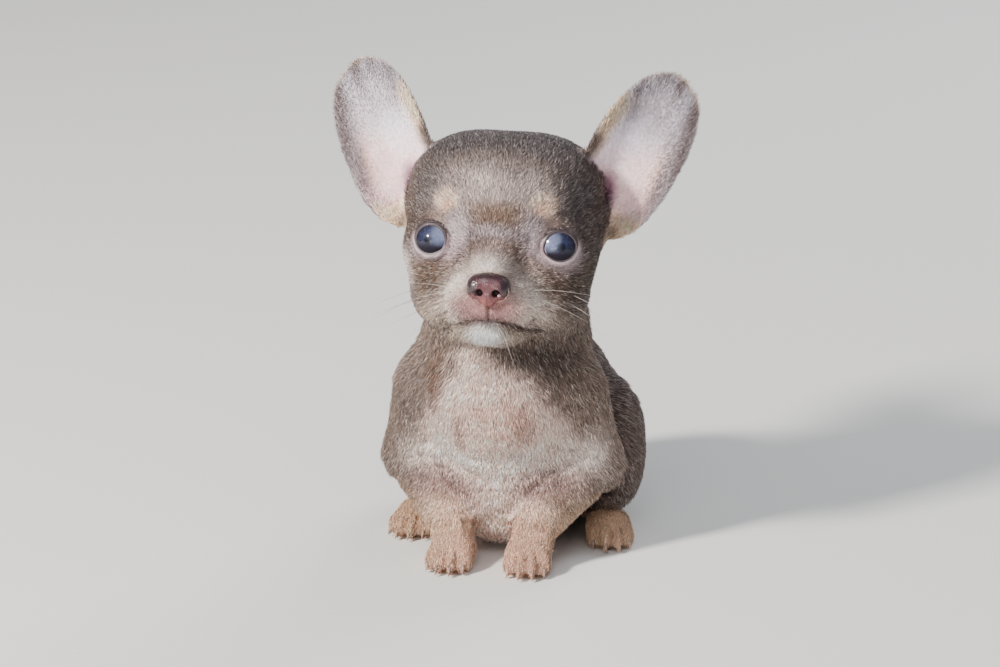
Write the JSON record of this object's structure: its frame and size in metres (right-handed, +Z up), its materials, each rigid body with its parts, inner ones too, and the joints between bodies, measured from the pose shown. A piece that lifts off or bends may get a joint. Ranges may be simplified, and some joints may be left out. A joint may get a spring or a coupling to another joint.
{
  "type": "chihuahua puppy",
  "caption": "Life-size seated short-coated puppy with a domed head, very large upright ears, round bulging eyes, a short muzzle and a curled tail.",
  "frame": {"origin": "middle of the bounding box's foot, on the floor under the chest", "axes": "+Z up, -Y the way the puppy faces, +X towards the puppy's own left"},
  "size_m": [0.1116, 0.1314, 0.1494],
  "materials": {
    "coat": "short plush taupe fur",
    "pale_coat": "very short cream and pinkish tan fur",
    "ear": "thin pinkish skin under sparse pale down",
    "nose_leather": "moist pebbled brown-red leather",
    "eye": "wet dark blue eye"
  },
  "bodies": {
    "root": {"head": "coat", "jaw": "pale_coat", "nose": "nose_leather", "eye_left": "eye", "eye_right": "eye", "ear_left": "ear", "ear_right": "ear", "neck": "coat", "torso": "coat", "foreleg_upper_left": "coat", "foreleg_lower_left": "coat", "forepaw_left": "pale_coat", "thigh_left": "coat", "hindpaw_left": "pale_coat", "foreleg_upper_right": "coat", "foreleg_lower_right": "coat", "forepaw_right": "pale_coat", "thigh_right": "coat", "hindpaw_right": "pale_coat", "tail": "coat"}
  },
  "joints": []
}
